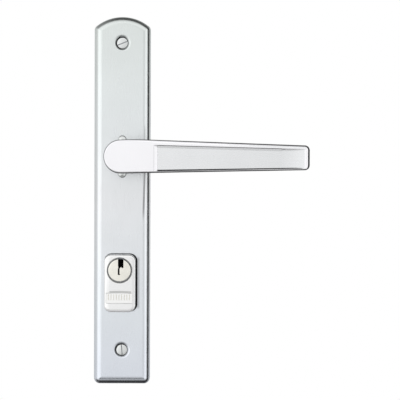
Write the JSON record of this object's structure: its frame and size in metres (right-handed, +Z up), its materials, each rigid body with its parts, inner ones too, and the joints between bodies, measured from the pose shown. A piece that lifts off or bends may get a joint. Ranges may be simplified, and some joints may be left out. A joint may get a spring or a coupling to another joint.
{
  "type": "lever door handle with euro cylinder",
  "caption": "Sprung lever door handle on a long narrow backplate, with a half euro profile cylinder in a rounded rectangular guard.",
  "frame": {"origin": "on the spindle axis, in the plane of the door's face (the back of the backplate)", "axes": "+X along the lever, from hub to tip; +Y into the door, along the spindle; +Z up"},
  "size_m": [0.1308, 0.105, 0.2272],
  "materials": {
    "satin_plate": "satin anodised, cool grey",
    "cast_lever": "fine satin, bright",
    "satin_nickel": "satin nickel plate on zinc alloy",
    "nickel_brass": "satin nickel plate on brass",
    "plug_brass": "fine turned face, warm nickel",
    "nickel_screws": "nickel-plated steel",
    "zinc_steel": "zinc-plated steel",
    "zinc_casting": "raw zinc-alloy casting",
    "sintered_steel": "sintered steel",
    "spring_steel": "bare spring steel",
    "black_steel": "black oxide",
    "pin_brass": "bare turned brass",
    "pin_steel": "bare turned steel",
    "nylon": "natural nylon"
  },
  "bodies": {
    "backplate": {"cover_plate": "satin_plate", "base_plate": "zinc_steel", "door_screw_top": "nickel_screws", "door_screw_bottom": "nickel_screws", "spring_housing": "zinc_casting", "housing_screw_top": "nickel_screws", "housing_screw_bottom": "nickel_screws", "lever_bush": "nylon", "return_spring": "spring_steel", "cylinder_guard": "satin_nickel", "cylinder_body": "nickel_brass", "pin_spring_1": "spring_steel", "pin_spring_2": "spring_steel", "pin_spring_3": "spring_steel", "pin_spring_4": "spring_steel", "pin_spring_5": "spring_steel", "chamber_cap_1": "pin_brass", "chamber_cap_2": "pin_brass", "chamber_cap_3": "pin_brass", "chamber_cap_4": "pin_brass", "chamber_cap_5": "pin_brass"},
    "lever": {"lever": "cast_lever", "spindle": "zinc_steel", "lever_grub_screw": "black_steel", "spring_driver": "zinc_steel", "lever_circlip": "spring_steel"},
    "plug": {"cylinder_plug": "plug_brass", "cylinder_cam": "sintered_steel", "plug_circlip": "spring_steel"},
    "key_pin_1": {"key_pin_1": "pin_brass"},
    "driver_pin_1": {"driver_pin_1": "pin_steel"},
    "key_pin_2": {"key_pin_2": "pin_brass"},
    "driver_pin_2": {"driver_pin_2": "pin_steel"},
    "key_pin_3": {"key_pin_3": "pin_brass"},
    "driver_pin_3": {"driver_pin_3": "pin_steel"},
    "key_pin_4": {"key_pin_4": "pin_brass"},
    "driver_pin_4": {"driver_pin_4": "pin_steel"},
    "key_pin_5": {"key_pin_5": "pin_brass"},
    "driver_pin_5": {"driver_pin_5": "pin_steel"}
  },
  "joints": [
    {"name": "lever_turn", "type": "hinge", "parent": "backplate", "child": "lever", "pos_m": [0, 0, 0], "axis": [0, 1, 0], "range_deg": [-40, 40], "stiffness_Nm_per_rad": 1.5, "deforming": ["return_spring"]},
    {"name": "plug_turn", "type": "hinge", "parent": "backplate", "child": "plug", "pos_m": [-0.0013, 0, -0.07], "axis": [0, 1, 0], "continuous": true},
    {"name": "key_pin_1_lift", "type": "slide", "parent": "plug", "child": "key_pin_1", "axis": [0, 0, 1], "range_m": [0, 0.00325]},
    {"name": "driver_pin_1_press", "type": "slide", "parent": "backplate", "child": "driver_pin_1", "axis": [0, 0, 1], "range_m": [-0.002, 0], "stiffness_N_per_m": 60, "springref_m": 0.002, "deforming": ["pin_spring_1"]},
    {"name": "key_pin_2_lift", "type": "slide", "parent": "plug", "child": "key_pin_2", "axis": [0, 0, 1], "range_m": [0, 0.00245]},
    {"name": "driver_pin_2_press", "type": "slide", "parent": "backplate", "child": "driver_pin_2", "axis": [0, 0, 1], "range_m": [-0.002, 0], "stiffness_N_per_m": 60, "springref_m": 0.002, "deforming": ["pin_spring_2"]},
    {"name": "key_pin_3_lift", "type": "slide", "parent": "plug", "child": "key_pin_3", "axis": [0, 0, 1], "range_m": [0, 0.00365]},
    {"name": "driver_pin_3_press", "type": "slide", "parent": "backplate", "child": "driver_pin_3", "axis": [0, 0, 1], "range_m": [-0.002, 0], "stiffness_N_per_m": 60, "springref_m": 0.002, "deforming": ["pin_spring_3"]},
    {"name": "key_pin_4_lift", "type": "slide", "parent": "plug", "child": "key_pin_4", "axis": [0, 0, 1], "range_m": [0, 0.00205]},
    {"name": "driver_pin_4_press", "type": "slide", "parent": "backplate", "child": "driver_pin_4", "axis": [0, 0, 1], "range_m": [-0.002, 0], "stiffness_N_per_m": 60, "springref_m": 0.002, "deforming": ["pin_spring_4"]},
    {"name": "key_pin_5_lift", "type": "slide", "parent": "plug", "child": "key_pin_5", "axis": [0, 0, 1], "range_m": [0, 0.00295]},
    {"name": "driver_pin_5_press", "type": "slide", "parent": "backplate", "child": "driver_pin_5", "axis": [0, 0, 1], "range_m": [-0.002, 0], "stiffness_N_per_m": 60, "springref_m": 0.002, "deforming": ["pin_spring_5"]}
  ]
}
